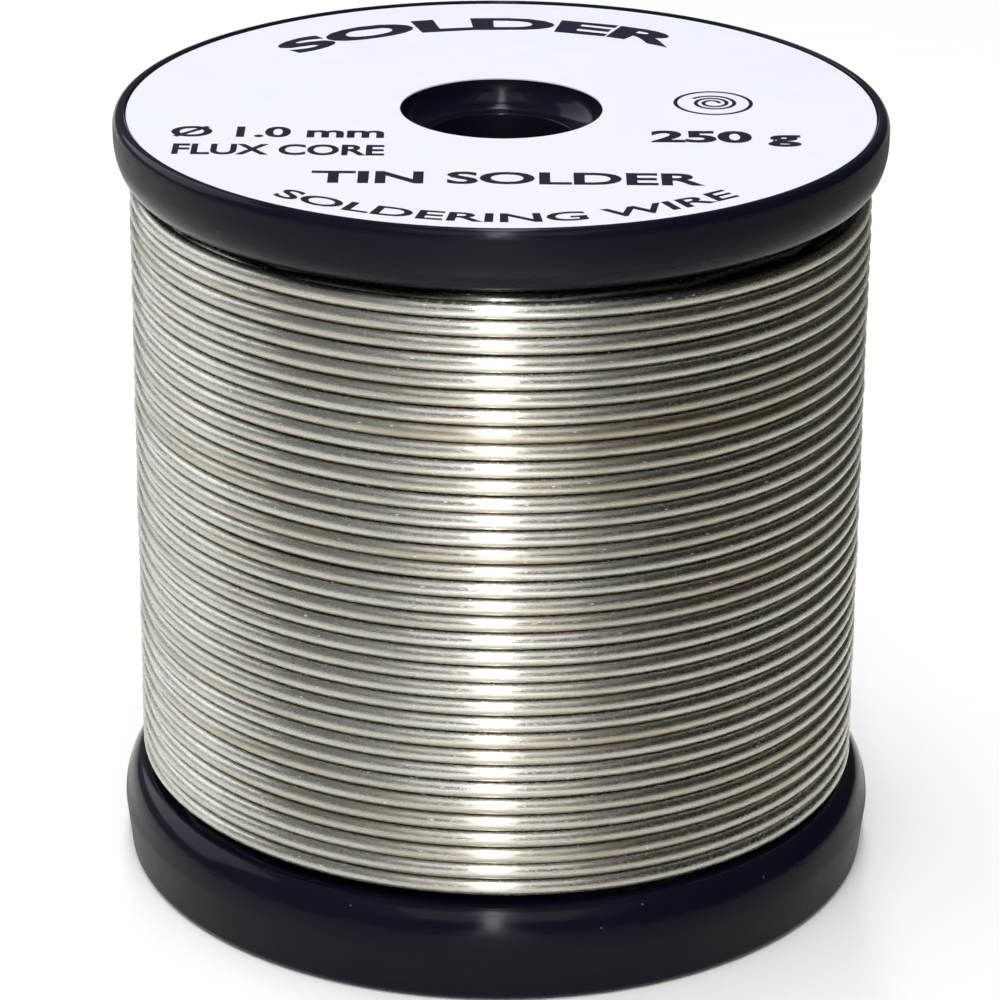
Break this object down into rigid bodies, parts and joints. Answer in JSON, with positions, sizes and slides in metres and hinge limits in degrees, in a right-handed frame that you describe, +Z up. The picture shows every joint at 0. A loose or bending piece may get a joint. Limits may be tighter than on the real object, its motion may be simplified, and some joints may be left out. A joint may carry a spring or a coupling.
{
  "type": "solder wire spool",
  "caption": "Full spool of flux-cored solder wire: black flanged plastic spool with a bore, a white ring label and close-wound bright wire.",
  "frame": {"origin": "centre of the flat face that the lower flange rests on", "axes": "+Z up along the spool's axis, towards the labelled flange; X and Y across the spool, with the wire's free end at the back, towards +Y"},
  "size_m": [0.0466, 0.0466, 0.0476],
  "materials": {
    "spool_plastic": "moulded black plastic, glossy, with a faint blue-violet tint",
    "label_paper": "smooth coated white paper, printed in dark violet-black",
    "solder_wire": "bright drawn tin solder, silvery with a warm tint and fine draw marks",
    "rosin_flux": "amber rosin"
  },
  "bodies": {
    "root": {"spool_barrel": "spool_plastic", "upper_flange": "spool_plastic", "lower_flange": "spool_plastic", "top_label": "label_paper", "wire_start": "solder_wire", "wire_layer_01": "solder_wire", "wire_layer_02": "solder_wire", "wire_layer_03": "solder_wire", "wire_layer_04": "solder_wire", "wire_layer_05": "solder_wire", "wire_layer_06": "solder_wire", "wire_layer_07": "solder_wire", "wire_layer_08": "solder_wire", "wire_layer_09": "solder_wire", "wire_layer_10": "solder_wire", "wire_layer_11": "solder_wire", "wire_layer_12": "solder_wire", "wire_layer_13": "solder_wire", "wire_layer_14": "solder_wire", "wire_layer_15": "solder_wire", "wire_last_turn": "solder_wire", "flux_core": "rosin_flux"}
  },
  "joints": []
}
